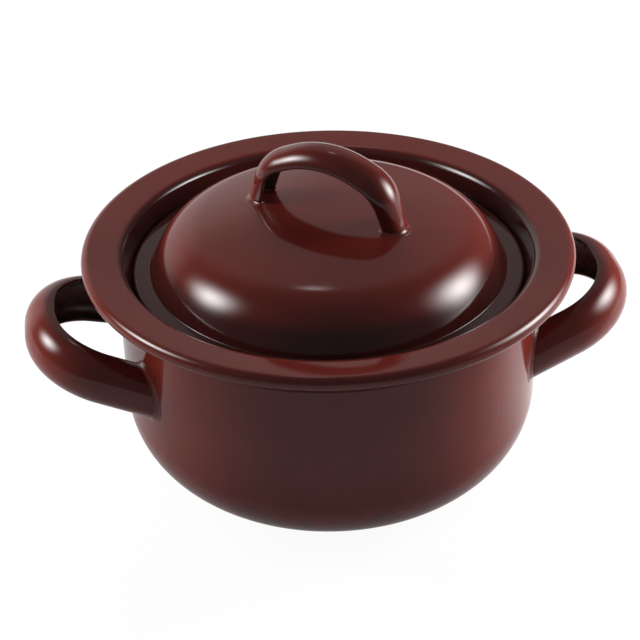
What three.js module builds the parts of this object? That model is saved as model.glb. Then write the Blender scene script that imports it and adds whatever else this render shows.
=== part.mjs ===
// Enamelled steel casserole pot: a pressed pot with a flared and rolled rim, two strap handles
// welded to its wall, and a domed lid with a welded bow handle that sits down inside the rim.
// Millimetres, +Z up. The origin is the centre of the standing ring, and +X runs along the side handles.

import * as THREE from 'three';

// Sheet steel and fits
const SHEET = 1.4; // steel with enamel fired on both faces
const CLEARANCE = 0.3; // room between pieces that touch

// Pot
const POT_HEIGHT = 101.5; // standing ring to the crest of the rim
const WALL_RADIUS = 86; // outside of the straight wall
const WALL_BEND = 35; // outside radius between the lifted base and the wall
const BASE_RADIUS = 50; // where the base starts to lift
const BASE_LIFT = 14; // degrees
const BASE_BEND = 55;
const PANEL_RADIUS = 30; // dished panel inside the standing ring
const PANEL_RISE = 0.8;
const PANEL_SLOPE = 4; // width of the step down to the standing ring
const PANEL_BEND = 6;
const SHOULDER_DROP = 14.5; // crest down to where the wall draws in
const SHOULDER_BEND = 2.2;
const NECK_RADIUS = 79.5; // inside of the narrow ring under the rim
const NECK_DROP = 13.3; // crest down to the neck
const NECK_BEND = 1.8;
const MOUTH_RADIUS = 83.6; // inside of the flare where it turns out into the flange
const MOUTH_BEND = 3.6;
const FLANGE_SLOPE = 7; // degrees that the flange rises outwards
const RIM_RADIUS = 100; // outside of the rolled edge
const RIM_ROLL = 3; // outside radius of the rolled edge
const RIM_ROLL_SWEEP = 250; // degrees that the edge is rolled round

// Lid
const LID_RADIUS = 79.8; // outside of the lid's turned-down edge
const LID_EDGE_BEND = 1.4; // outside radius of that edge
const LID_EDGE_SKIRT = 0.3; // straight part below the bend
const DOME_HEIGHT = 24.4; // flat ring up to the top of the cap
const DOME_RADIUS = 260; // outside radius of the cap's curve
const DOME_CAP_RADIUS = 52.6; // where the cap turns into the shoulder
const DOME_SHOULDER_BEND = 24.5; // outside radius between the cap and the side
const DOME_SIDE_SLOPE = 72; // degrees at which the side comes down to the flat ring
const DOME_FOOT_BEND = 3.6;

// Side handles
const HANDLE_FOOT_DROP = 41.9; // crest of the rim down to the middle of a foot
const HANDLE_SPAN = 63.5; // between the legs of one handle at its feet, on the strap's open side
const HANDLE_END_SPAN = 50.6; // the same where the legs would meet the loop's far end
const HANDLE_REACH = 115.7; // pot axis to the open side of the loop's far end
const HANDLE_BEND = 26.4; // radius of the loop's corners, on the open side
const HANDLE_RISE = 19.2; // degrees that the loop tilts up outwards
const HANDLE_HEIGHT = 22; // strap across its open side
const HANDLE_DEPTH = 9.4; // bulge of the strap

// Lid handle
const BOW_TURN = -36; // degrees that the lid lies turned in the pot
const BOW_SPAN = 55; // between the feet, on the strap's open side
const BOW_LEAN = 4.5; // how far each leg leans in by its corner with the crown
const BOW_LEG = 15; // foot up to that corner
const BOW_CROWN = 26; // foot up to where the two halves of the crown would meet in a point
const BOW_BEND = 12.5;
const BOW_CROWN_BEND = 35;
const BOW_WIDTH = 17.5; // strap across its open side
const BOW_FOOT_WIDTH = 13;
const BOW_TAPER = 16; // how far from a foot the strap reaches its full width
const BOW_DEPTH = 7; // bulge of the strap

// Weld beads round the feet of the straps
const WELD_SIZE = 1.8;
const WELD_EDGE = 0.35; // thickness that a bead thins out to
const WELD_STEPS = 3;

// Facets
const TURN_STEPS = 48; // round the pot
const FACET_SAG = 0.15; // most that a facet lies inside its bend
const SECTION_STEPS = 8; // across a strap

const STRAP_COLOUR = 0x5c2420;
const SHELL_COLOUR = 0x62271f;
const DEGREE = Math.PI / 180;
const half = SHEET / 2; // from the middle of the sheet to either face

// Rounds the corners of an open line. A corner is [x, y, bend radius], and its ends have no radius.
function bendLine(corners) {
  const points = [];
  corners.forEach(([x, y, radius], i) => {
    const corner = new THREE.Vector2(x, y);
    if (!radius) {
      points.push(corner);
      return;
    }
    const back = new THREE.Vector2(...corners[i - 1]).sub(corner).normalize();
    const ahead = new THREE.Vector2(...corners[i + 1]).sub(corner).normalize();
    const opening = Math.acos(back.dot(ahead));
    const start = corner.clone().addScaledVector(back, radius / Math.tan(opening / 2));
    const inward = back.clone().add(ahead).normalize();
    const centre = corner.clone().addScaledVector(inward, radius / Math.sin(opening / 2));
    const sweep = Math.sign(ahead.cross(back)) * (Math.PI - opening);
    points.push(...arc(centre, start, sweep));
  });
  return points;
}

// Points along an arc from a start point, turning by a signed sweep in radians.
function arc(centre, start, sweep) {
  const facet = 2 * Math.acos(1 - FACET_SAG / start.distanceTo(centre));
  const steps = Math.max(2, Math.ceil(Math.abs(sweep) / facet));
  const points = [];
  for (let i = 0; i <= steps; i += 1) {
    points.push(start.clone().rotateAround(centre, (sweep * i) / steps));
  }
  return points;
}

// Moves a line sideways by a distance, to its left when positive, with mitred corners.
function offsetLine(points, distance) {
  return points.map((point, i) => {
    const along = [];
    if (i > 0) along.push(point.clone().sub(points[i - 1]).normalize());
    if (i < points.length - 1) along.push(points[i + 1].clone().sub(point).normalize());
    const sum = along.reduce((total, step) => total.clone().add(step)).normalize();
    const mitre = distance / sum.dot(along[0]);
    return new THREE.Vector2(point.x - sum.y * mitre, point.y + sum.x * mitre);
  });
}

// A pressed shell: a sheet of even thickness along a line that starts on the axis, turned round it.
function pressedShell(middleLine) {
  const beyondAxis = new THREE.Vector2(-middleLine[1].x, middleLine[1].y);
  const line = [beyondAxis, ...middleLine];
  const underside = offsetLine(line, -half).slice(1);
  const topside = offsetLine(line, half).slice(1);
  const geometry = new THREE.LatheGeometry([...underside, ...topside.reverse()], TURN_STEPS);
  return geometry.rotateX(Math.PI / 2);
}

// A solid through a row of closed rings with as many points each, capped by a flat outline's triangles.
function loft(rings, outline) {
  const count = outline.length;
  const faces = THREE.ShapeUtils.triangulateShape(outline, []);
  const last = (rings.length - 1) * count;
  const index = [];
  for (let i = 0; i < rings.length - 1; i += 1) {
    for (let k = 0; k < count; k += 1) {
      const a = i * count + k;
      const b = i * count + ((k + 1) % count);
      index.push(a, b, b + count, a, b + count, a + count);
    }
  }
  faces.forEach(([a, b, c]) => {
    index.push(c, b, a);
    index.push(last + a, last + b, last + c);
  });
  const geometry = new THREE.BufferGeometry().setFromPoints(rings.flat());
  geometry.setIndex(index);
  geometry.computeVertexNormals();
  return geometry;
}

// Middle line of the rim: the roll, and the flange down to its corner with the flare.
const flangeSlope = FLANGE_SLOPE * DEGREE;
const rollCentre = new THREE.Vector2(RIM_RADIUS - RIM_ROLL, POT_HEIGHT - RIM_ROLL);
const rollStart = new THREE.Vector2(-Math.sin(flangeSlope), Math.cos(flangeSlope))
  .multiplyScalar(RIM_ROLL - half).add(rollCentre);
const mouth = new THREE.Vector2(MOUTH_RADIUS + half, 0);
mouth.y = rollStart.y - (rollStart.x - mouth.x) * Math.tan(flangeSlope);
const neck = new THREE.Vector2(NECK_RADIUS + half, POT_HEIGHT - NECK_DROP);

// The inside of the flare carries the lid's edge, so the lid's levels follow from it.
const flare = Math.atan2(mouth.x - neck.x, mouth.y - neck.y);
const seatRadius = LID_RADIUS + (half + CLEARANCE) / Math.cos(flare);
const lidEdgeLevel = neck.y + (seatRadius - neck.x) / Math.tan(flare);
const ledgeLevel = lidEdgeLevel + LID_EDGE_SKIRT + LID_EDGE_BEND;
const domeCentre = ledgeLevel + DOME_HEIGHT - DOME_RADIUS;

// The pot, from the middle of its base up the wall, in at the neck, out over the flange and round the roll.
function potShell() {
  const wall = WALL_RADIUS - half;
  const wallFoot = half + (wall - BASE_RADIUS) * Math.tan(BASE_LIFT * DEGREE);
  const line = bendLine([
    [0, PANEL_RISE + half],
    [PANEL_RADIUS, PANEL_RISE + half, PANEL_BEND],
    [PANEL_RADIUS + PANEL_SLOPE, half, PANEL_BEND],
    [BASE_RADIUS, half, BASE_BEND],
    [wall, wallFoot, WALL_BEND - half],
    [wall, POT_HEIGHT - SHOULDER_DROP, SHOULDER_BEND],
    [neck.x, neck.y, NECK_BEND],
    [mouth.x, mouth.y, MOUTH_BEND],
    [rollStart.x, rollStart.y],
  ]);
  const roll = arc(rollCentre, rollStart, -RIM_ROLL_SWEEP * DEGREE);
  return pressedShell([...line, ...roll.slice(1)]);
}

// The lid, from the top of its dome over the shoulder and down the side to the flat ring and its edge.
function lidShell() {
  const centre = new THREE.Vector2(0, domeCentre);
  const capTop = new THREE.Vector2(0, ledgeLevel + DOME_HEIGHT - half);
  const capSweep = Math.asin(DOME_CAP_RADIUS / DOME_RADIUS);
  const shoulder = new THREE.Vector2(Math.sin(capSweep), Math.cos(capSweep))
    .multiplyScalar(DOME_RADIUS - DOME_SHOULDER_BEND).add(centre);
  const cap = arc(centre, capTop, -capSweep);
  const sideSlope = DOME_SIDE_SLOPE * DEGREE;
  const shoulderBend = arc(shoulder, cap[cap.length - 1], capSweep - sideSlope);
  const side = shoulderBend[shoulderBend.length - 1];
  const ledge = ledgeLevel - half;
  const foot = side.x + (side.y - ledge) / Math.tan(sideSlope);
  const edge = LID_RADIUS - half;
  const line = bendLine([
    [side.x, side.y],
    [foot, ledge, DOME_FOOT_BEND],
    [edge, ledge, LID_EDGE_BEND - half],
    [edge, lidEdgeLevel],
  ]);
  return pressedShell([...cap, ...shoulderBend.slice(1), ...line.slice(1)]);
}

// Half-oval section of a strap that is open on one side, as [across, bulge] for an angle from lip to lip.
function sectionPoint(width, depth, angle) {
  return new THREE.Vector2((width / 2) * Math.cos(angle), depth * Math.sin(angle));
}

function sectionAngles() {
  return Array.from({ length: SECTION_STEPS + 1 }, (_, i) => (Math.PI * i) / SECTION_STEPS);
}

// Slides a point along a direction until it stands at a height over a round surface.
function slideTo(surface, point, direction, height) {
  const from = point.clone().sub(surface.centre).multiply(surface.around);
  const step = direction.clone().multiply(surface.around);
  const a = step.lengthSq();
  const b = from.dot(step);
  const c = from.lengthSq() - (surface.radius + height) ** 2;
  return point.clone().addScaledVector(direction, (Math.sqrt(b * b - a * c) - b) / a);
}

// A strap of half-oval section whose open side follows a bent line in a plane, cut at both feet to the
// round surface that it stands on.
class Strap {
  constructor({ corners, origin, along, up, width, footWidth = width, taper = width, depth, surface }) {
    Object.assign(this, { origin, along, up, width, footWidth, taper, depth, surface });
    this.across = new THREE.Vector3().crossVectors(along, up);
    this.line = bendLine(corners);
  }

  // Middle of the open side and the direction of the bulge at one point of the line.
  station(i) {
    const { line } = this;
    const before = line[Math.max(i - 1, 0)];
    const after = line[Math.min(i + 1, line.length - 1)];
    const run = after.clone().sub(before).normalize();
    const middle = this.inSpace(line[i]).add(this.origin);
    return { middle, bulge: this.inSpace(new THREE.Vector2(run.y, -run.x)) };
  }

  // The strap narrows from its full width towards both feet.
  widthAt(i) {
    const { line } = this;
    const reach = Math.min(line[i].distanceTo(line[0]), line[i].distanceTo(line[line.length - 1]));
    return this.footWidth + (this.width - this.footWidth) * Math.min(reach / this.taper, 1);
  }

  // Closed section at one point of the line: round the outside and back along the inside.
  outline(i) {
    const width = this.widthAt(i);
    const outside = sectionAngles().map((angle) => sectionPoint(width, this.depth, angle));
    const inside = sectionAngles().map((angle) => sectionPoint(width - 2 * SHEET, this.depth - SHEET, angle));
    return [...outside, ...inside.reverse()];
  }

  inSpace(flat) {
    return this.along.clone().multiplyScalar(flat.x).addScaledVector(this.up, flat.y);
  }

  place(station, flat) {
    const point = station.middle.clone();
    return point.addScaledVector(this.across, flat.x).addScaledVector(station.bulge, flat.y);
  }

  // Direction out of a foot along its leg.
  legDirection(end) {
    const { line } = this;
    const [foot, next] = end ? [line[line.length - 1], line[line.length - 2]] : [line[0], line[1]];
    return this.inSpace(next.clone().sub(foot).normalize());
  }

  solid() {
    const last = this.line.length - 1;
    const rings = this.line.map((_, i) => {
      const ring = this.outline(i).map((flat) => this.place(this.station(i), flat));
      if (i > 0 && i < last) return ring;
      const leg = this.legDirection(i === last);
      return ring.map((point) => slideTo(this.surface, point, leg, CLEARANCE));
    });
    return loft(rings, this.outline(0));
  }

  // The weld bead round the outside of one foot: a hollow fillet that follows the strap and the surface.
  weld(end) {
    const leg = this.legDirection(end);
    const station = this.station(end ? this.line.length - 1 : 0);
    const fillet = Array.from({ length: WELD_STEPS + 1 }, (_, i) => {
      const turn = (Math.PI / 2) * (i / WELD_STEPS);
      const width = WELD_EDGE + (WELD_SIZE - WELD_EDGE) * (1 - Math.sin(turn));
      return new THREE.Vector2(width, WELD_SIZE * (1 - Math.cos(turn)));
    });
    const outline = [...fillet, new THREE.Vector2(0, WELD_SIZE), new THREE.Vector2(0, 0)];
    const angles = end ? sectionAngles() : sectionAngles().reverse();
    const rings = angles.map((angle) => outline.map((flat) => {
      const grow = flat.x + CLEARANCE;
      const section = sectionPoint(this.footWidth + 2 * grow, this.depth + grow, angle);
      return slideTo(this.surface, this.place(station, section), leg, flat.y + CLEARANCE);
    }));
    return loft(rings, outline);
  }
}

// The side handle on the +X side. The other one is the same piece turned half round.
function sideHandle() {
  const feet = HANDLE_SPAN / 2;
  const legs = HANDLE_END_SPAN / 2;
  const foot = Math.sqrt(WALL_RADIUS ** 2 - feet ** 2);
  const end = (HANDLE_REACH - foot) / Math.cos(HANDLE_RISE * DEGREE);
  return new Strap({
    corners: [[0, -feet], [end, -legs, HANDLE_BEND], [end, legs, HANDLE_BEND], [0, feet]],
    origin: new THREE.Vector3(foot, 0, POT_HEIGHT - HANDLE_FOOT_DROP),
    along: new THREE.Vector3(Math.cos(HANDLE_RISE * DEGREE), 0, Math.sin(HANDLE_RISE * DEGREE)),
    up: new THREE.Vector3(0, 1, 0),
    width: HANDLE_HEIGHT,
    depth: HANDLE_DEPTH,
    surface: {
      centre: new THREE.Vector3(),
      around: new THREE.Vector3(1, 1, 0),
      radius: WALL_RADIUS,
    },
  });
}

// The bow handle across the top of the lid.
function bowHandle() {
  const feet = BOW_SPAN / 2;
  const shoulder = feet - BOW_LEAN;
  const foot = domeCentre + Math.sqrt(DOME_RADIUS ** 2 - feet ** 2);
  return new Strap({
    corners: [
      [feet, 0],
      [shoulder, BOW_LEG, BOW_BEND],
      [0, BOW_CROWN, BOW_CROWN_BEND],
      [-shoulder, BOW_LEG, BOW_BEND],
      [-feet, 0],
    ],
    origin: new THREE.Vector3(0, 0, foot),
    along: new THREE.Vector3(1, 0, 0),
    up: new THREE.Vector3(0, 0, 1),
    width: BOW_WIDTH,
    footWidth: BOW_FOOT_WIDTH,
    taper: BOW_TAPER,
    depth: BOW_DEPTH,
    surface: {
      centre: new THREE.Vector3(0, 0, domeCentre),
      around: new THREE.Vector3(1, 1, 1),
      radius: DOME_RADIUS,
    },
  });
}

function piece(name, geometry, color) {
  const material = new THREE.MeshStandardMaterial({ color, roughness: 0.12, metalness: 0 });
  const mesh = new THREE.Mesh(geometry, material);
  mesh.name = name;
  return mesh;
}

// A strap with the bead at each of its feet, named for the strap.
function weldedStrap(name, strap, footNames) {
  const group = new THREE.Group();
  group.add(piece(name, strap.solid(), STRAP_COLOUR));
  footNames.forEach((footName, i) => {
    group.add(piece(`${name}_${footName}_weld`, strap.weld(i === 1), STRAP_COLOUR));
  });
  return group;
}

const pot = new THREE.Group();
const rightHandle = weldedStrap('right_handle', sideHandle(), ['front', 'rear']);
const leftHandle = weldedStrap('left_handle', sideHandle(), ['rear', 'front']);
leftHandle.rotation.z = Math.PI;
pot.add(piece('pot_shell', potShell(), SHELL_COLOUR), rightHandle, leftHandle);

const lid = new THREE.Group();
lid.add(piece('lid_shell', lidShell(), SHELL_COLOUR));
lid.add(weldedStrap('lid_handle', bowHandle(), ['right', 'left']));
lid.rotation.z = BOW_TURN * DEGREE;

const casserole = new THREE.Group();
casserole.add(pot, lid);

export default casserole;
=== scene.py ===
"""Looks of an enamelled casserole pot: its pressed shells, welded straps, enamel and studio.

Sizes are in metres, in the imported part's frame: the origin is under the middle of the base, +Z is up
and +X runs along the side handles.
"""

import math

import bmesh
import bpy
from mathutils import Matrix, Vector


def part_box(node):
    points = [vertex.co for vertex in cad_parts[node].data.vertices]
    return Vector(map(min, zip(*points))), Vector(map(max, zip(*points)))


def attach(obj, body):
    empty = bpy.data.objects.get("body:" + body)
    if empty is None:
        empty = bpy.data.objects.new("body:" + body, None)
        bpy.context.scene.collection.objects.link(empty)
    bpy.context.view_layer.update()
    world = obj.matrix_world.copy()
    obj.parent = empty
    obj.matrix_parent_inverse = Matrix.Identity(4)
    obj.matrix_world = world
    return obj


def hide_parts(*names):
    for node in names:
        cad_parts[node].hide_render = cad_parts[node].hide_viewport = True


bl_info = {
    "name": "Enamel Casserole Pot",
    "version": (1, 0, 0),
    "blender": (4, 5, 0),
    "location": "3D View > Sidebar > Casserole",
    "description": "Builds an enamelled casserole pot with its lid, handles and studio",
    "category": "Add Mesh",
}

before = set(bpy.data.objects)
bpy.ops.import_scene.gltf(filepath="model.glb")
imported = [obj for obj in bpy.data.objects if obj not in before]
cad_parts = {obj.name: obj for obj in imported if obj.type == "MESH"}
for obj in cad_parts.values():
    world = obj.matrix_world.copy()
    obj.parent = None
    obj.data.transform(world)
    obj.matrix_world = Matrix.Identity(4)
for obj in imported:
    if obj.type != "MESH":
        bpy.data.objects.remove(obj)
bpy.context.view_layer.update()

MM = 0.001
UP = Vector((0, 0, 1))
BLACK = (0, 0, 0, 1)
WHITE = (1, 1, 1, 1)

# Fineness of the meshes

TURN_STEPS = 192  # round the pot
ARC_STEP = math.radians(6)  # most that an arc turns in one straight step
ARC_CHORD = 2.5 * MM  # longest such step
SECTION_STEPS = 28  # across a strap
LIP_STEPS = 6  # round the edge of a strap's sheet
FILLET_STEPS = 6  # up the curve of a fillet
EDGE_STEPS = 3  # round a softened edge
EDGE_ROUND = 0.5 * MM  # how far the softening reaches from the edge
SHARP_EDGE = math.radians(50)  # an edge that bends more than this is softened
SAME_PLACE = 0.001 * MM  # vertices nearer than this are merged
SINK = 0.3 * MM  # how far a welded foot runs into the sheet under it

# Enamel

GLASS_IOR = 1.52
LIP_SHARE = "lip_share"  # attribute of a strap: 1 at its lips, 0 at the top of its bulge; it places the painted shade along the lips
SEAT_OVER = 3 * MM  # how far the painted shade in the lid's seat reaches over the crest of the rim
SEAT_FADE = 6 * MM  # how slowly it ends there
SEAT_BORDER = 2 * MM  # how slowly it ends at its other borders

# Studio

CLIP_START = 10 * MM
FLOOR_RADIUS = 6
FLOOR_SIDES = 64
FLOOR_WHITE = 1.05  # strength at which the camera sees the floor
LEFT_LAMPS = -96  # degrees from the camera's side, to the right
RIGHT_LAMPS = 102
LOW_LAMPS = 0  # degrees above the horizon
HIGH_LAMPS = 25
SIDE_LAMP_DISTANCE = 400 * MM
LAMP_SIZE = 0.4  # diameter of a lamp over its distance
PANEL_SIZE = 2.5  # half the width of a panel over the spread of its glow
SCREEN_FULL = 0.98  # cosine of the angle from a screen's middle to where it starts to fade
SCREEN_EDGE = 0.8  # the same to where it has faded out

# Settings

pot_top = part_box("pot_shell")[1]
lid_low, lid_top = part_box("lid_shell")


def length(name, default, description):
    return bpy.props.FloatProperty(
        name=name, description=description, default=default, min=0, unit="LENGTH", precision=5)


def angle(name, degrees, description):
    return bpy.props.FloatProperty(
        name=name, description=description, default=math.radians(degrees), subtype="ANGLE")


def colour(name, value, description):
    return bpy.props.FloatVectorProperty(
        name=name, description=description, default=value, size=3, min=0, max=1, subtype="COLOR")


def amount(name, default, description):
    return bpy.props.FloatProperty(name=name, description=description, default=default, min=0)


class PotSizes(bpy.types.PropertyGroup):
    """Sizes of the pot's pressed shell."""

    sheet: length("Sheet", 1.4 * MM, "Steel with enamel on both faces")
    height: length("Height", pot_top.z, "Standing ring to the crest of the rim")
    wall_radius: length("Wall radius", 86 * MM, "Outside of the straight wall")
    wall_bend: length("Wall bend", 35 * MM, "Outside radius between the base and the wall")
    base_radius: length("Base radius", 50 * MM, "Where the base starts to lift")
    base_lift: angle("Base lift", 14, "Slope of the lifted part of the base")
    base_bend: length("Base bend", 55 * MM, "Radius where the base starts to lift")
    panel_radius: length("Panel radius", 30 * MM, "Dished panel inside the standing ring")
    panel_rise: length("Panel rise", 0.8 * MM, "Height of the panel over the standing ring")
    panel_slope: length("Panel slope", 4 * MM, "Width of the step between panel and ring")
    panel_bend: length("Panel bend", 6 * MM, "Radius of both corners of that step")
    shoulder_drop: length("Shoulder drop", 14.5 * MM, "Crest down to where the wall draws in")
    shoulder_bend: length("Shoulder bend", 2.2 * MM, "Radius where the wall draws in")
    neck_radius: length("Neck radius", 79.5 * MM, "Inside of the narrow ring under the rim")
    neck_drop: length("Neck drop", 13.3 * MM, "Crest down to the neck")
    neck_bend: length("Neck bend", 1.8 * MM, "Radius of the neck")
    mouth_radius: length("Mouth radius", 83.6 * MM, "Inside of the flare at the flange")
    mouth_bend: length("Mouth bend", 3.6 * MM, "Radius between the flare and the flange")
    flange_slope: angle("Flange slope", 7, "Rise of the flange towards its edge")
    rim_radius: length("Rim radius", pot_top.x, "Outside of the rolled edge")
    rim_roll: length("Rim roll", 3 * MM, "Outside radius of the rolled edge")
    rim_sweep: angle("Rim sweep", 250, "How far the edge is rolled round")


class LidSizes(bpy.types.PropertyGroup):
    """Sizes of the lid's pressed shell."""

    edge_level: length("Edge level", lid_low.z, "Lower edge of the lid as it sits in the rim")
    radius: length("Radius", lid_top.x, "Outside of the turned-down edge")
    edge_bend: length("Edge bend", 1.4 * MM, "Outside radius of that edge")
    edge_skirt: length("Edge skirt", 0.3 * MM, "Straight part below the bend")
    dome_top: length("Dome top", lid_top.z, "Top of the dome over the base of the pot")
    dome_radius: length("Dome radius", 260 * MM, "Outside radius of the cap's curve")
    cap_radius: length("Cap radius", 52.6 * MM, "Where the cap turns into the shoulder")
    shoulder_bend: length("Shoulder bend", 24.5 * MM, "Outside radius between cap and side")
    side_slope: angle("Side slope", 62, "How steeply the side comes down to the flat ring")
    foot_bend: length("Foot bend", 1.2 * MM, "Radius between the side and the flat ring")


class StrapSizes(bpy.types.PropertyGroup):
    """Sizes of the three welded straps."""

    foot_drop: length("Foot drop", 41.9 * MM, "Crest of the rim down to the side handles' feet")
    loop_span: length("Loop span", 63.5 * MM, "Between the legs of a side handle at its feet")
    loop_end_span: length("Loop end span", 50.6 * MM, "The same at the far end of the loop")
    loop_reach: length("Loop reach", 115.7 * MM, "Pot axis to the open side of the loop's end")
    loop_bend: length("Loop bend", 26.4 * MM, "Radius of the loop's corners")
    loop_rise: angle("Loop rise", 19.2, "Tilt of the loop")
    loop_height: length("Loop height", 22 * MM, "Side strap across its open side")
    loop_depth: length("Loop depth", 9.4 * MM, "Bulge of the side strap")
    bow_turn: angle("Bow turn", -36, "How far the lid lies turned in the pot")
    bow_span: length("Bow span", 55 * MM, "Between the feet of the lid's handle")
    bow_lean: length("Bow lean", 4.5 * MM, "How far a leg leans in by its corner")
    bow_leg: length("Bow leg", 15 * MM, "Foot up to the corner of the leg")
    bow_crown: length("Bow crown", 25.4 * MM, "Foot up to where the crown's halves would meet")
    bow_bend: length("Bow bend", 12.5 * MM, "Radius between a leg and the crown")
    bow_crown_bend: length("Bow crown bend", 35 * MM, "Radius in the middle of the crown")
    bow_width: length("Bow width", 17.5 * MM, "Lid strap across its open side")
    bow_foot_width: length("Bow foot width", 13 * MM, "The same at its feet")
    bow_taper: length("Bow taper", 16 * MM, "How far up the strap reaches its full width")
    bow_depth: length("Bow depth", 7 * MM, "Bulge of the lid strap")
    fillet: length("Fillet", 1.3 * MM, "Weld and enamel run into the corner round a foot")


class EnamelLooks(bpy.types.PropertyGroup):
    """Colours and finish of the enamel."""

    body: colour("Enamel", (0.116, 0.0155, 0.011), "Red-brown cover coat")
    # this colour is also the painted shade in the lid's seat and along the straps' lips
    thin: colour("Thin enamel", (0.045, 0.009, 0.0075), "Where the cover coat runs thin")
    clouds: amount("Clouds", 0.15, "How thin the cover coat gets in slow clouds")
    specks: amount("Specks", 0.4, "How thin it gets in fine specks")
    # strength of the painted shade in the lid's seat and along the straps' lips
    edges: amount("Edges", 0.9, "How thin it gets in the lid's seat and at the lips of the straps")
    gloss: amount("Gloss roughness", 0.055, "Roughness of the fired glass")
    haze: amount("Haze", 0.05, "How much that roughness varies")
    ripple: amount("Ripple", 0.06, "Strength of the slow ripple in the glass")
    # painted shade: this near-black colour stands in for the shade inside the straps' open channel
    ground: colour("Ground coat", (0.042, 0.040, 0.039), "Dark first coat inside the straps")
    blush: amount("Blush", 0.25, "How much cover coat has drifted onto the ground coat")
    ground_gloss: amount("Ground roughness", 0.22, "Roughness of the ground coat")
    ground_haze: amount("Ground haze", 0.12, "How much that roughness varies")


class StudioSettings(bpy.types.PropertyGroup):
    """Camera, floor and light."""

    distance: length("Distance", 700 * MM, "Camera to the point over the pot that it turns round")
    pivot_height: length("Pivot height", 93.5 * MM, "Height of that point")
    elevation: angle("Elevation", 30.89, "Camera above the horizon")
    azimuth: angle("Azimuth", -8.49, "Camera round from square to the side handles")
    roll: angle("Roll", -1.23, "Turn of the camera about its own line of sight")
    lens: bpy.props.FloatProperty(name="Lens", description="Focal length", default=96.4, unit="CAMERA")
    frame_right: bpy.props.FloatProperty(
        name="Frame right", description="Frame's middle to the right of the pivot", default=-3.8 * MM,
        unit="LENGTH")
    frame_up: bpy.props.FloatProperty(
        name="Frame up", description="Frame's middle above the pivot", default=-26.0 * MM, unit="LENGTH")
    paper: amount("Paper", 0.66, "Grey of the floor's paper")
    shadow: amount("Shadow", 0.1, "Share of the paper's own shade that the camera sees near the pot")
    # what the gloss shows of the floor: a painted shadow under the pot and painted light behind it
    floor_dim: amount("Floor dim", 0.23, "What the gloss shows of the floor under the pot")
    floor_open: amount("Floor open", 0.16, "What it shows more of the open floor")
    floor_back: amount("Floor back", 0.35, "What it shows more of the floor behind")
    floor_right: amount("Floor right", 0.4, "What it shows more of the floor behind on the right")
    panel: amount("Panel", 17.5, "Radiance in the middle of the soft panels that the gloss shows")
    back_panel: amount("Back panel", 3.2, "The same of the small panel above and behind")
    room: amount("Room", 0.125, "Radiance of the dim room")
    low_screen: amount("Low screen", 0.55, "What the low screen behind the pot adds to it")
    high_screen: amount("High screen", 0.19, "What the high screen behind the pot adds to it")
    left_low_light: amount("Left low light", 2.7, "Light of the low left lamp at the pot")
    left_high_light: amount("Left high light", 1.7, "Light of the high left lamp at the pot")
    right_low_light: amount("Right low light", 4.8, "Light of the low right lamp at the pot")
    right_high_light: amount("Right high light", 1.6, "Light of the high right lamp at the pot")
    back_light: amount("Back light", 1.65, "Light of the lamp behind at the pot")


# Drawing with a bmesh

def arc_steps(radius, turn):
    """How many straight steps an arc is drawn with."""
    return max(3, math.ceil(abs(turn) / ARC_STEP), math.ceil(radius * abs(turn) / ARC_CHORD))


def rounded_corner(before, corner, after, radius):
    """Start, centre and signed turn of the arc that rounds a corner between two straight stretches."""
    back = (before - corner).normalized()
    ahead = (after - corner).normalized()
    opening = back.angle(ahead)
    start = corner + back * (radius / math.tan(opening / 2))
    centre = corner + (back + ahead).normalized() * (radius / math.sin(opening / 2))
    side = ahead.x * back.y - ahead.y * back.x
    return start, centre, math.copysign(math.pi - opening, side)


class Outline:
    """A bent line in the XZ plane, drawn by extruding and spinning its last vertex."""

    def __init__(self, bm, x, z):
        self.bm = bm
        self.tip = bm.verts.new((x, 0, z))

    def line_to(self, point):
        self.tip = bmesh.ops.extrude_vert_indiv(self.bm, verts=[self.tip])["verts"][0]
        self.tip.co = (point.x, 0, point.y)

    def arc(self, centre, turn):
        radius = (Vector((self.tip.co.x, self.tip.co.z)) - centre).length
        spun = bmesh.ops.spin(
            self.bm, geom=[self.tip], cent=(centre.x, 0, centre.y), axis=(0, -1, 0), angle=turn,
            steps=arc_steps(radius, turn))
        self.tip = next(item for item in spun["geom_last"] if isinstance(item, bmesh.types.BMVert))

    def corners(self, places):
        """Goes on through corners, each (x, z, bend radius), and ends at the last, which has no radius."""
        points = [Vector((self.tip.co.x, self.tip.co.z))] + [Vector(place[:2]) for place in places]
        for i, place in enumerate(places[:-1]):
            start, centre, turn = rounded_corner(points[i], points[i + 1], points[i + 2], place[2])
            self.line_to(start)
            self.arc(centre, turn)
        self.line_to(points[-1])


def turn_round(bm, facing_up):
    """Turns the drawn outline round the Z axis into a skin that faces up, or down, at the axis."""
    bmesh.ops.spin(
        bm, geom=bm.verts[:] + bm.edges[:], cent=(0, 0, 0), axis=(0, 0, 1), angle=2 * math.pi,
        steps=TURN_STEPS, use_merge=True)
    bmesh.ops.remove_doubles(bm, verts=bm.verts, dist=SAME_PLACE)
    bmesh.ops.recalc_face_normals(bm, faces=bm.faces)
    middle = min(bm.faces, key=lambda face: face.calc_center_median().xy.length)
    if (middle.normal.z > 0) != facing_up:
        bmesh.ops.reverse_faces(bm, faces=bm.faces)


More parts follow.
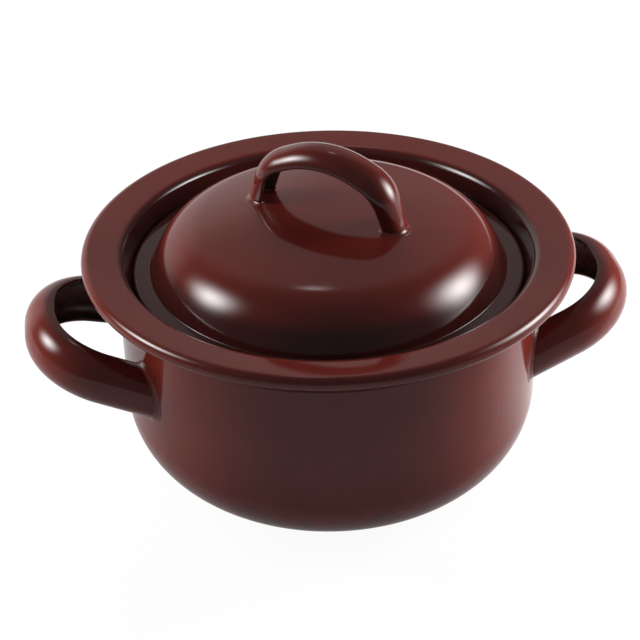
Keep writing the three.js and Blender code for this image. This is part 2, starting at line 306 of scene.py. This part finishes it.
class Strap:
    """An open strap of half-oval section, drawn along a bent line by extruding and spinning its end.

    While it is drawn, X is across the strap, and the line lies in the YZ plane.
    """

    def __init__(self, width, depth, places):
        self.bm = bmesh.new()
        self.width = width
        self.depth = depth
        self.points = [Vector(place[:2]) for place in places]
        self.at = self.points[0]
        self.first = self.draw_section()
        self.last = self.first
        for i, place in enumerate(places[1:-1]):
            start, centre, turn = rounded_corner(*self.points[i:i + 3], place[2])
            self.run_to(start)
            self.bend(centre, turn)
        self.run_to(self.points[-1])

    def draw_section(self):
        lip_share = self.bm.verts.layers.float.new(LIP_SHARE)
        lip = self.bm.verts.new((self.width / 2, 0, 0))
        bmesh.ops.spin(
            self.bm, geom=[lip], cent=(0, 0, 0), axis=(0, 1, 0), angle=math.pi, steps=SECTION_STEPS)
        bmesh.ops.scale(self.bm, vec=(1, 1, 2 * self.depth / self.width), verts=self.bm.verts)
        for vert in self.bm.verts:
            vert[lip_share] = 1 - abs(vert.co.z) / self.depth
        heading = self.points[1] - self.points[0]
        turn = Matrix.Rotation(math.atan2(heading.y, heading.x), 3, "X")
        bmesh.ops.rotate(self.bm, cent=(0, 0, 0), matrix=turn, verts=self.bm.verts)
        bmesh.ops.translate(self.bm, vec=(0, *self.at), verts=self.bm.verts)
        return self.bm.verts[:] + self.bm.edges[:]

    def run_to(self, point):
        edges = [item for item in self.last if isinstance(item, bmesh.types.BMEdge)]
        made = bmesh.ops.extrude_edge_only(self.bm, edges=edges)["geom"]
        self.last = [item for item in made if not isinstance(item, bmesh.types.BMFace)]
        verts = [item for item in self.last if isinstance(item, bmesh.types.BMVert)]
        bmesh.ops.translate(self.bm, vec=(0, *(point - self.at)), verts=verts)
        self.at = point

    def bend(self, centre, turn):
        radius = (self.at - centre).length
        self.last = bmesh.ops.spin(
            self.bm, geom=self.last, cent=(0, *centre), axis=(1, 0, 0), angle=turn,
            steps=arc_steps(radius + self.depth, turn))["geom_last"]
        self.at = centre + Matrix.Rotation(turn, 2) @ (self.at - centre)

    def narrow_feet(self, foot_width, taper):
        """Draws the strap in across its feet, which stand at height 0."""
        for vert in self.bm.verts:
            share = min(max(vert.co.z / taper, 0), 1)
            share = share * share * (3 - 2 * share)  # eases in and out
            vert.co.x *= (foot_width + (self.width - foot_width) * share) / self.width

    def feet(self):
        """Middle, direction up the leg and direction of the bulge of both feet, as drawn."""
        ends = ((self.points[0], self.points[1], 1), (self.points[-1], self.points[-2], -1))
        for foot, above, side in ends:
            leg = (above - foot).normalized()
            yield Vector((0, *foot)), Vector((0, *leg)), Vector((0, leg.y, -leg.x)) * side


class Surface:
    """A round surface that a strap stands on: a ball, or an upright cylinder."""

    def __init__(self, radius, level=0, upright=False):
        self.radius = radius
        self.centre = Vector((0, 0, level))
        self.axes = Vector((1, 1, 0 if upright else 1))  # height doesn't count on a cylinder

    def slide(self, point, direction, height):
        """Moves a point along a direction until it stands at a height over the surface."""
        start = (point - self.centre) * self.axes
        step = direction * self.axes
        a = step.length_squared
        b = start.dot(step)
        c = start.length_squared - (self.radius + height) ** 2
        if b * b < a * c:
            raise ValueError("a strap's foot misses the surface that it stands on")
        return point + direction * ((math.sqrt(b * b - a * c) - b) / a)


def foot_ring(bm, width, depth, sheet, grow):
    """Closed outline of a strap's sheet at its foot, grown all round, in the XY plane.

    The bulge is on +Y.
    """
    outer = Vector((width / 2 + grow, depth + grow))
    inner = Vector((width / 2 - sheet - grow, depth - sheet - grow))
    lip = (width - sheet) / 2
    tip = bm.verts.new((outer.x, 0, 0))
    ring = [tip]
    stretches = (
        (0, math.pi, outer.y / outer.x, SECTION_STEPS),  # over the bulge
        (-lip, math.pi, 1, LIP_STEPS),  # round one lip
        (0, -math.pi, inner.y / inner.x, SECTION_STEPS),  # back along its inside
        (lip, math.pi, 1, LIP_STEPS),  # round the other lip
    )
    for centre, turn, squeeze, steps in stretches:
        before = set(bm.verts)
        spun = bmesh.ops.spin(bm, geom=[tip], cent=(centre, 0, 0), axis=(0, 0, 1), angle=turn, steps=steps)
        made = [vert for vert in bm.verts if vert not in before]
        bmesh.ops.scale(bm, vec=(1, squeeze, 1), verts=made)
        ring += made
        tip = next(item for item in spun["geom_last"] if isinstance(item, bmesh.types.BMVert))
    bmesh.ops.pointmerge(bm, verts=[tip, ring[0]], merge_co=ring[0].co)
    return [vert for vert in ring if vert.is_valid]


# Pieces of the object

def finish_piece(name, bm, body, nodes, material):
    """Makes a smooth mesh object of a bmesh, and says what it rides on and stands for."""
    for face in bm.faces:
        face.smooth = True
    mesh = bpy.data.meshes.new(name)
    bm.to_mesh(mesh)
    bm.free()
    mesh.materials.append(material)
    piece = bpy.data.objects.new(name, mesh)
    bpy.context.scene.collection.objects.link(piece)
    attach(piece, body)
    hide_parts(*nodes)
    return piece


def give_thickness(piece, sheet, offset, inside=None):
    """Turns a skin into a sheet with softened edges, and with a material of its own inside if given.

    At offset 0 the skin is the middle of the sheet, and at -1 it is the outside.
    """
    wall = piece.modifiers.new("Sheet", "SOLIDIFY")
    if inside:
        piece.data.materials.append(inside)
        wall.material_offset = 1
    wall.thickness = sheet
    wall.offset = offset
    wall.use_even_offset = True
    edge = piece.modifiers.new("Soft edges", "BEVEL")
    edge.width = EDGE_ROUND
    edge.segments = EDGE_STEPS
    edge.profile = 0.5
    edge.limit_method = "ANGLE"
    edge.angle_limit = SHARP_EDGE


def draw_pot(pot):
    """The middle of the pot's sheet, from the dished base to the rolled rim."""
    half = pot.sheet / 2
    wall = pot.wall_radius - half
    wall_foot = half + (wall - pot.base_radius) * math.tan(pot.base_lift)
    roll_centre = Vector((pot.rim_radius - pot.rim_roll, pot.height - pot.rim_roll))
    lean = Vector((-math.sin(pot.flange_slope), math.cos(pot.flange_slope)))
    roll_start = roll_centre + lean * (pot.rim_roll - half)
    mouth = Vector((pot.mouth_radius + half, 0))
    mouth.y = roll_start.y - (roll_start.x - mouth.x) * math.tan(pot.flange_slope)
    bm = bmesh.new()
    line = Outline(bm, 0, pot.panel_rise + half)
    line.corners([
        (pot.panel_radius, pot.panel_rise + half, pot.panel_bend),
        (pot.panel_radius + pot.panel_slope, half, pot.panel_bend),
        (pot.base_radius, half, pot.base_bend),
        (wall, wall_foot, pot.wall_bend - half),
        (wall, pot.height - pot.shoulder_drop, pot.shoulder_bend),
        (pot.neck_radius + half, pot.height - pot.neck_drop, pot.neck_bend),
        (*mouth, pot.mouth_bend),
        (*roll_start,),
    ])
    line.arc(roll_centre, -pot.rim_sweep)
    turn_round(bm, facing_up=False)
    return bm


def draw_lid(lid, sheet):
    """The middle of the lid's sheet, from the top of the dome to the turned-down edge."""
    half = sheet / 2
    ledge = lid.edge_level + lid.edge_skirt + lid.edge_bend - half
    dome_centre = Vector((0, lid.dome_top - lid.dome_radius))
    cap_sweep = math.asin(lid.cap_radius / lid.dome_radius)
    cap_edge = Vector((math.sin(cap_sweep), math.cos(cap_sweep)))
    shoulder = dome_centre + cap_edge * (lid.dome_radius - lid.shoulder_bend)
    edge = lid.radius - half
    bm = bmesh.new()
    line = Outline(bm, 0, lid.dome_top - half)
    line.arc(dome_centre, -cap_sweep)
    line.arc(shoulder, cap_sweep - lid.side_slope)
    side = line.tip.co
    foot = side.x + (side.z - ledge) / math.tan(lid.side_slope)
    line.corners([
        (foot, ledge, lid.foot_bend),
        (edge, ledge, lid.edge_bend - half),
        (edge, lid.edge_level),
    ])
    turn_round(bm, facing_up=True)
    return bm


def strap_with_fillets(strap, foot_width, sheet, fillet, place, surface):
    """Places a strap, runs its feet into the surface, and draws the fillet round each foot."""
    bmesh.ops.transform(strap.bm, matrix=place, verts=strap.bm.verts)
    turned = place.to_3x3()
    fillets = []
    ends = (strap.first, strap.last)
    for end, (middle, leg, bulge) in zip(ends, strap.feet()):
        up_leg = turned @ leg
        for vert in (item for item in end if isinstance(item, bmesh.types.BMVert)):
            vert.co = surface.slide(vert.co, up_leg, -SINK)
        across = bulge.cross(leg)
        columns = Matrix((turned @ across, turned @ bulge, up_leg)).transposed().to_4x4()
        stand = Matrix.Translation(place @ middle) @ columns
        fillets.append(draw_fillet(strap, foot_width, sheet, fillet, stand, up_leg, surface))
    bmesh.ops.recalc_face_normals(strap.bm, faces=strap.bm.faces)
    return fillets


def draw_fillet(strap, foot_width, sheet, fillet, stand, up_leg, surface):
    """A closed ring round one foot whose outside curves from the strap into the surface."""
    bm = bmesh.new()
    profile = [(-SINK, -SINK)]
    for i in range(FILLET_STEPS + 1):
        turn = math.pi / 2 * i / FILLET_STEPS
        profile.append((fillet * (1 - math.sin(turn)), fillet * (1 - math.cos(turn))))
    rings = []
    for grow, height in profile:
        ring = foot_ring(bm, foot_width, strap.depth, sheet, grow)
        for vert in ring:
            vert.co = surface.slide(stand @ vert.co, up_leg, height)
        rings.append(ring)
    for ring, following in zip(rings, rings[1:] + rings[:1]):
        loops = [edge for edge in bm.edges if set(edge.verts) <= set(ring)
                 or set(edge.verts) <= set(following)]
        bmesh.ops.bridge_loops(bm, edges=loops)
    bmesh.ops.recalc_face_normals(bm, faces=bm.faces)
    return bm


# Materials

class Value:
    """An output socket, so that shader maths is written as Python expressions."""

    def __init__(self, shader, socket):
        self.shader = shader
        self.socket = socket

    def __add__(self, other):
        return self.shader.maths("ADD", self, other)

    def __sub__(self, other):
        return self.shader.maths("SUBTRACT", self, other)

    def __rsub__(self, other):
        return self.shader.maths("SUBTRACT", other, self)

    def __mul__(self, other):
        return self.shader.maths("MULTIPLY", self, other)

    def __truediv__(self, other):
        return self.shader.maths("DIVIDE", self, other)

    def __rtruediv__(self, other):
        return self.shader.maths("DIVIDE", other, self)

    __radd__ = __add__
    __rmul__ = __mul__


class Shader:
    """A node tree that is filled by calls."""

    def __init__(self, tree):
        self.tree = tree
        tree.nodes.clear()

    def node(self, kind, settings=None, inputs=None, output=0):
        """Adds a node, sets it, fills or links its sockets, and gives one of its outputs."""
        made = self.tree.nodes.new(kind)
        for name, value in (settings or {}).items():
            setattr(made, name, value)
        for name, value in (inputs or {}).items():
            if isinstance(value, Value):
                self.tree.links.new(value.socket, made.inputs[name])
            else:
                made.inputs[name].default_value = value
        return Value(self, made.outputs[output]) if made.outputs else made

    def place(self):
        return self.node("ShaderNodeTexCoord", output="Object")

    def maths(self, operation, *values):
        return self.node("ShaderNodeMath", {"operation": operation}, dict(enumerate(values)))

    def dot(self, vector, direction):
        settings = {"operation": "DOT_PRODUCT"}
        return self.node("ShaderNodeVectorMath", settings, {0: vector, 1: direction}, "Value")

    def length(self, vector):
        return self.node("ShaderNodeVectorMath", {"operation": "LENGTH"}, {0: vector}, "Value")

    def step(self, value, low, high):
        """0 below low and 1 above high, smooth between them."""
        settings = {"interpolation_type": "SMOOTHSTEP"}
        inputs = {"Value": value, "From Min": low, "From Max": high}
        return self.node("ShaderNodeMapRange", settings, inputs)

    def noise(self, vector, scale, detail, roughness=0.5):
        inputs = {"Vector": vector, "Scale": scale, "Detail": detail, "Roughness": roughness}
        return self.node("ShaderNodeTexNoise", inputs=inputs)

    def blend(self, factor, first, second):
        """A colour between two others."""
        inputs = {0: factor, 6: first, 7: second}
        return self.node("ShaderNodeMix", {"data_type": "RGBA"}, inputs, 2)

    def mix(self, factor, first, second):
        """A shader between two others."""
        return self.node("ShaderNodeMixShader", inputs={0: factor, 1: first, 2: second})

    def finish(self, shader, kind="ShaderNodeOutputMaterial"):
        self.node(kind, inputs={"Surface": shader})


def new_material(name):
    """An empty material, and the shader that fills it."""
    material = bpy.data.materials.new(name)
    material.use_nodes = True
    return material, Shader(material.node_tree)


def opaque(rgb):
    """A colour with its alpha."""
    return (*rgb, 1)


def enamel(name, looks, seat=None, lips=False):
    """Fired glass over steel: a deep even colour, a wet gloss and a slow ripple.

    The colour is darkened towards the thin colour as painted shade in the seat between lid and rim,
    given by its low and high levels and its radius, and along the lips of a strap.
    """
    material, shader = new_material(name)
    place = shader.place()
    clouds = shader.step(shader.noise(place, scale=45, detail=3), low=0.35, high=0.75)
    specks = shader.step(shader.noise(place, scale=900, detail=1), low=0.68, high=0.76)
    # the slow clouds and fine specks are thin patches of the coat; the seat and the lips below add painted
    # shade in the same colour
    thin = looks.clouds * clouds + looks.specks * specks
    # painted shade in the seat between lid and rim
    if seat:
        thin = shader.maths("MAXIMUM", thin, looks.edges * seat_shade(shader, place, *seat))
    # painted shade along the lips of a strap
    if lips:
        share = shader.node("ShaderNodeAttribute", {"attribute_name": LIP_SHARE}, output="Fac")
        thin = shader.maths("MAXIMUM", thin, looks.edges * shader.step(share, low=0.3, high=0.85))
    haze = shader.noise(place, scale=120, detail=4, roughness=0.6)
    ripple = shader.node("ShaderNodeBump", inputs={
        "Strength": looks.ripple,
        "Distance": 0.4 * MM,
        "Height": shader.noise(place, scale=130, detail=1),
    })
    shader.finish(shader.node("ShaderNodeBsdfPrincipled", inputs={
        "Base Color": shader.blend(thin, opaque(looks.body), opaque(looks.thin)),
        "Roughness": looks.gloss + looks.haze * haze,
        "IOR": GLASS_IOR,
        "Normal": ripple,
    }))
    return material


def lid_seat_shade(pot):
    """Low and high levels and radius of the painted shade in the seat, for the enamel of the pot and the
    lid.
    """
    return pot.height - pot.shoulder_drop, pot.height + SEAT_OVER, pot.mouth_radius + SEAT_BORDER


def seat_shade(shader, place, low, high, radius):
    """Mask of the painted seat shade: 1 between two levels and inside a radius, with soft borders."""
    level = shader.dot(place, UP)
    flat = shader.node("ShaderNodeVectorMath", {"operation": "MULTIPLY"}, {0: place, 1: (1, 1, 0)})
    above = shader.step(level, low - SEAT_BORDER, low)
    below = 1 - shader.step(level, high - SEAT_FADE, high)
    inside = 1 - shader.step(shader.length(flat), radius - SEAT_BORDER, radius)
    return above * below * inside


def inside_shade_coat(name, looks):
    """A near-black coat, thin and a little dull, inside the straps: painted shade of their open channel."""
    material, shader = new_material(name)
    place = shader.place()
    blush = looks.blush * shader.step(shader.noise(place, scale=160, detail=3), low=0.45, high=0.7)
    haze = shader.noise(place, scale=300, detail=2)
    shader.finish(shader.node("ShaderNodeBsdfPrincipled", inputs={
        "Base Color": shader.blend(blush, opaque(looks.ground), opaque(looks.thin)),
        "Roughness": looks.ground_gloss + looks.ground_haze * haze,
        "IOR": GLASS_IOR,
    }))
    return material


# Stage

def view_axes(studio):
    """Right and away, level with the floor, as the camera sees them."""
    right = Vector((math.cos(studio.azimuth), math.sin(studio.azimuth), 0))
    return right, UP.cross(right)


def stand_camera(studio):
    """Stands the camera round the pot and aims it so that the pot has its place in the frame."""
    right, away = view_axes(studio)
    back = UP * math.sin(studio.elevation) - away * math.cos(studio.elevation)
    raised = back.cross(right)
    pivot = UP * studio.pivot_height
    target = pivot + right * studio.frame_right + raised * studio.frame_up
    data = bpy.data.cameras.new("Camera")
    data.lens = studio.lens
    data.clip_start = CLIP_START
    camera = bpy.data.objects.new("Camera", data)
    bpy.context.scene.collection.objects.link(camera)
    camera.location = pivot + back * studio.distance
    facing = (target - camera.location).to_track_quat("-Z", "Y").to_matrix()
    camera.rotation_euler = (facing @ Matrix.Rotation(studio.roll, 3, "Z")).to_euler()
    bpy.context.scene.camera = camera


def way_from_pot(studio, turn, rise):
    """A direction turned to the right from the camera's side, and raised, in degrees."""
    right, away = view_axes(studio)
    turn, rise = math.radians(turn), math.radians(rise)
    level = right * math.sin(turn) - away * math.cos(turn)
    return level * math.cos(rise) + UP * math.sin(rise)


def beside_pot(studio, turn, rise, distance):
    """A place round the pot that faces it."""
    outward = way_from_pot(studio, turn, rise)
    facing = outward.to_track_quat("Z", "Y").to_matrix().to_4x4()
    return Matrix.Translation(UP * studio.pivot_height + outward * distance) @ facing


def stage_piece(name, bm):
    """A mesh that isn't part of the object, and the shader of its empty material."""
    mesh = bpy.data.meshes.new(name)
    bm.to_mesh(mesh)
    bm.free()
    piece = bpy.data.objects.new(name, mesh)
    bpy.context.scene.collection.objects.link(piece)
    material, shader = new_material(name)
    mesh.materials.append(material)
    return piece, shader


def lay_floor(studio):
    """A pale floor that the camera sees as white, apart from a soft contact shadow.

    The gloss shows it with a painted shadow, darker in front and under the pot's overhang, and with painted
    light, brighter towards the screens.
    """
    bm = bmesh.new()
    bmesh.ops.create_circle(bm, cap_ends=True, radius=FLOOR_RADIUS, segments=FLOOR_SIDES)
    shader = stage_piece("Floor", bm)[1]
    right, away = view_axes(studio)
    place = shader.place()
    reach = shader.length(place)
    far = shader.step(reach, low=0.2, high=0.4)
    clear_of_pot = shader.step(reach, low=0.1, high=0.155)
    to_the_right = shader.step(shader.dot(place, right), low=-0.1, high=0.1)
    behind = shader.step(shader.dot(place, away), low=-0.09, high=0.04)
    # painted shadow of the pot and painted light behind it, seen only in the gloss
    painted_floor_shading = studio.floor_dim + studio.floor_open * clear_of_pot
    painted_floor_shading = painted_floor_shading + behind * (studio.floor_back + studio.floor_right * to_the_right)
    camera_ray = shader.node("ShaderNodeLightPath", output="Is Camera Ray")
    gloss_ray = shader.node("ShaderNodeLightPath", output="Is Glossy Ray")
    glass_ray = shader.node("ShaderNodeLightPath", output="Is Transmission Ray")
    paper = shader.node("ShaderNodeBsdfDiffuse", inputs={"Color": opaque([studio.paper] * 3)})
    white = shader.node("ShaderNodeEmission", inputs={"Strength": FLOOR_WHITE})
    dim = shader.node("ShaderNodeEmission", inputs={"Color": shader.blend(painted_floor_shading, BLACK, WHITE)})
    shown = shader.mix(camera_ray * (1 - studio.shadow * (1 - far)), paper, white)
    shader.finish(shader.mix(gloss_ray + glass_ray, shown, dim))


def light_room(studio):
    """A dim room with two pale screens behind the pot, and white to the camera."""
    world = bpy.data.worlds.new("Studio")
    bpy.context.scene.world = world
    world.use_nodes = True
    shader = Shader(world.node_tree)
    toward = shader.node("ShaderNodeTexCoord", output="Generated")
    screens = (
        (studio.low_screen, way_from_pot(studio, turn=211, rise=2)),
        (studio.high_screen, way_from_pot(studio, turn=180, rise=36)),
    )
    glow = studio.room
    for radiance, middle in screens:
        glow = glow + radiance * shader.step(shader.dot(toward, middle), SCREEN_EDGE, SCREEN_FULL)
    camera_ray = shader.node("ShaderNodeLightPath", output="Is Camera Ray")
    room = shader.node("ShaderNodeBackground", inputs={"Color": shader.blend(glow, BLACK, WHITE)})
    white = shader.node("ShaderNodeBackground", inputs={"Color": WHITE})
    shader.finish(shader.mix(camera_ray, room, white), "ShaderNodeOutputWorld")


def hang_lamp(studio, name, turn, rise, distance, light):
    """A soft lamp that lights the enamel. In the gloss the panels show instead."""
    data = bpy.data.lights.new(name, "AREA")
    data.shape = "DISK"
    data.size = LAMP_SIZE * distance
    data.energy = light * math.pi * distance ** 2  # watts that give this light at the pot
    lamp = bpy.data.objects.new(name, data)
    bpy.context.scene.collection.objects.link(lamp)
    lamp.matrix_world = beside_pot(studio, turn, rise, distance)
    lamp.visible_glossy = False


def stand_panel(studio, name, turn, rise, distance, spread, radiance):
    """A panel that glows in its middle and fades out towards its edges, and shows only in a gloss."""
    bm = bmesh.new()
    bmesh.ops.create_grid(bm, x_segments=1, y_segments=1, size=PANEL_SIZE * spread)
    panel, shader = stage_piece(name, bm)
    panel.matrix_world = beside_pot(studio, turn, rise, distance)
    panel.visible_camera = False
    panel.visible_diffuse = False
    panel.visible_shadow = False
    from_middle = shader.length(shader.place()) / spread
    glow = shader.maths("EXPONENT", -1 * (from_middle * from_middle))
    clear = shader.node("ShaderNodeBsdfTransparent")
    lit = shader.node("ShaderNodeEmission", inputs={"Strength": radiance})
    shader.finish(shader.mix(glow, clear, lit))


# Operators

class CASSEROLE_OT_pot_shell(bpy.types.Operator):
    """Turn the pot's pressed shell with its neck, flange and rolled rim"""

    bl_idname = "casserole.pot_shell"
    bl_label = "Pot Shell"

    def execute(self, context):
        scene = context.scene
        pot = scene.casserole_pot
        material = enamel("Pot enamel", scene.casserole_looks, lid_seat_shade(pot))
        piece = finish_piece("pot_body", draw_pot(pot), "pot", ["pot_shell"], material)
        give_thickness(piece, pot.sheet, offset=0)
        return {"FINISHED"}


class CASSEROLE_OT_lid_shell(bpy.types.Operator):
    """Turn the lid's pressed shell with its dome, flat ring and edge"""

    bl_idname = "casserole.lid_shell"
    bl_label = "Lid Shell"

    def execute(self, context):
        scene = context.scene
        pot = scene.casserole_pot
        sheet = pot.sheet
        material = enamel("Lid enamel", scene.casserole_looks, lid_seat_shade(pot))
        bm = draw_lid(scene.casserole_lid, sheet)
        piece = finish_piece("lid_dome", bm, "lid", ["lid_shell"], material)
        give_thickness(piece, sheet, offset=0)
        return {"FINISHED"}


class CASSEROLE_OT_side_handles(bpy.types.Operator):
    """Bend both side handles and weld them to the wall"""

    bl_idname = "casserole.side_handles"
    bl_label = "Side Handles"

    def execute(self, context):
        scene = context.scene
        pot = scene.casserole_pot
        sizes = scene.casserole_straps
        material = enamel("Side handle enamel", scene.casserole_looks, lips=True)
        # the inside of the strap's sheet gets the painted shade coat
        inside = inside_shade_coat("Side handle ground coat", scene.casserole_looks)
        surface = Surface(pot.wall_radius, upright=True)
        feet = sizes.loop_span / 2
        legs = sizes.loop_end_span / 2
        foot = math.sqrt(pot.wall_radius ** 2 - feet ** 2)
        end = (sizes.loop_reach - foot) / math.cos(sizes.loop_rise)
        tilt = Matrix.Rotation(-sizes.loop_rise, 4, "Y")
        lie = Matrix(((0, 1, 0, 0), (0, 0, 1, 0), (1, 0, 0, 0), (0, 0, 0, 1)))  # width upright
        origin = Matrix.Translation((foot, 0, pot.height - sizes.foot_drop))
        sides = (("right", 0, ("front", "rear")), ("left", math.pi, ("rear", "front")))
        for side, turn, foot_names in sides:
            strap = Strap(sizes.loop_height, sizes.loop_depth, [
                (0, -feet), (end, -legs, sizes.loop_bend), (end, legs, sizes.loop_bend), (0, feet)])
            place = Matrix.Rotation(turn, 4, "Z") @ origin @ tilt @ lie
            fillets = strap_with_fillets(
                strap, sizes.loop_height, pot.sheet, sizes.fillet, place, surface)
            piece = finish_piece(
                f"{side}_loop", strap.bm, "pot", [f"{side}_handle"], material)
            give_thickness(piece, pot.sheet, offset=-1, inside=inside)
            for foot_name, bm in zip(foot_names, fillets):
                node = f"{side}_handle_{foot_name}_weld"
                finish_piece(f"{side}_loop_{foot_name}_fillet", bm, "pot", [node], material)
        return {"FINISHED"}


class CASSEROLE_OT_lid_handle(bpy.types.Operator):
    """Bend the lid's bow handle and weld it to the dome"""

    bl_idname = "casserole.lid_handle"
    bl_label = "Lid Handle"

    def execute(self, context):
        scene = context.scene
        lid = scene.casserole_lid
        sizes = scene.casserole_straps
        sheet = scene.casserole_pot.sheet
        material = enamel("Lid handle enamel", scene.casserole_looks, lips=True)
        # the inside of the strap's sheet gets the painted shade coat
        inside = inside_shade_coat("Lid handle ground coat", scene.casserole_looks)
        dome_level = lid.dome_top - lid.dome_radius
        surface = Surface(lid.dome_radius, level=dome_level)
        feet = sizes.bow_span / 2
        shoulder = feet - sizes.bow_lean
        foot_level = dome_level + math.sqrt(lid.dome_radius ** 2 - feet ** 2)
        strap = Strap(sizes.bow_width, sizes.bow_depth, [
            (feet, 0),
            (shoulder, sizes.bow_leg, sizes.bow_bend),
            (0, sizes.bow_crown, sizes.bow_crown_bend),
            (-shoulder, sizes.bow_leg, sizes.bow_bend),
            (-feet, 0),
        ])
        strap.narrow_feet(sizes.bow_foot_width, sizes.bow_taper)
        stand = Matrix(((0, 1, 0, 0), (-1, 0, 0, 0), (0, 0, 1, foot_level), (0, 0, 0, 1)))  # along X
        place = Matrix.Rotation(sizes.bow_turn, 4, "Z") @ stand
        fillets = strap_with_fillets(
            strap, sizes.bow_foot_width, sheet, sizes.fillet, place, surface)
        piece = finish_piece("lid_bow", strap.bm, "lid", ["lid_handle"], material)
        give_thickness(piece, sheet, offset=-1, inside=inside)
        for side, bm in zip(("right", "left"), fillets):
            node = f"lid_handle_{side}_weld"
            finish_piece(f"lid_bow_{side}_fillet", bm, "lid", [node], material)
        return {"FINISHED"}


class CASSEROLE_OT_studio(bpy.types.Operator):
    """Lay the pale floor, set the soft light and stand the camera"""

    bl_idname = "casserole.studio"
    bl_label = "Studio"

    def execute(self, context):
        studio = context.scene.casserole_studio
        lay_floor(studio)
        light_room(studio)
        sides = (
            ("Left", LEFT_LAMPS, studio.left_low_light, studio.left_high_light),
            ("Right", RIGHT_LAMPS, studio.right_low_light, studio.right_high_light),
        )
        for side, turn, low_light, high_light in sides:
            hang_lamp(studio, f"{side} low lamp", turn, LOW_LAMPS, SIDE_LAMP_DISTANCE, low_light)
            hang_lamp(studio, f"{side} high lamp", turn, HIGH_LAMPS, SIDE_LAMP_DISTANCE, high_light)
        hang_lamp(studio, "Back lamp", turn=180, rise=35, distance=1, light=studio.back_light)
        stand_panel(
            studio, "Left panel", turn=-90.4, rise=33.2, distance=1, spread=0.2, radiance=studio.panel)
        stand_panel(
            studio, "Right panel", turn=91.9, rise=24.3, distance=0.336, spread=0.08, radiance=studio.panel)
        stand_panel(
            studio, "Back panel", turn=186, rise=61.5, distance=1, spread=0.045, radiance=studio.back_panel)
        stand_camera(studio)
        return {"FINISHED"}


# Panel and registration

class CASSEROLE_PT_panel(bpy.types.Panel):
    """Lists the casserole's operators"""

    bl_label = "Casserole"
    bl_idname = "CASSEROLE_PT_panel"
    bl_space_type = "VIEW_3D"
    bl_region_type = "UI"
    bl_category = "Casserole"

    def draw(self, context):
        for operator in OPERATORS:
            self.layout.operator(operator.bl_idname)


GROUPS = {
    "casserole_pot": PotSizes,
    "casserole_lid": LidSizes,
    "casserole_straps": StrapSizes,
    "casserole_looks": EnamelLooks,
    "casserole_studio": StudioSettings,
}
OPERATORS = (
    CASSEROLE_OT_pot_shell,
    CASSEROLE_OT_side_handles,
    CASSEROLE_OT_lid_shell,
    CASSEROLE_OT_lid_handle,
    CASSEROLE_OT_studio,
)


def register():
    for name, group in GROUPS.items():
        bpy.utils.register_class(group)
        setattr(bpy.types.Scene, name, bpy.props.PointerProperty(type=group))
    for operator in OPERATORS:
        bpy.utils.register_class(operator)
    bpy.utils.register_class(CASSEROLE_PT_panel)


def unregister():
    bpy.utils.unregister_class(CASSEROLE_PT_panel)
    for operator in reversed(OPERATORS):
        bpy.utils.unregister_class(operator)
    for name, group in reversed(GROUPS.items()):
        delattr(bpy.types.Scene, name)
        bpy.utils.unregister_class(group)


def main():
    register()
    bpy.context.scene.view_settings.view_transform = "Standard"
    bpy.ops.casserole.pot_shell()
    bpy.ops.casserole.side_handles()
    bpy.ops.casserole.lid_shell()
    bpy.ops.casserole.lid_handle()
    bpy.ops.casserole.studio()


if __name__ == "__main__":
    main()
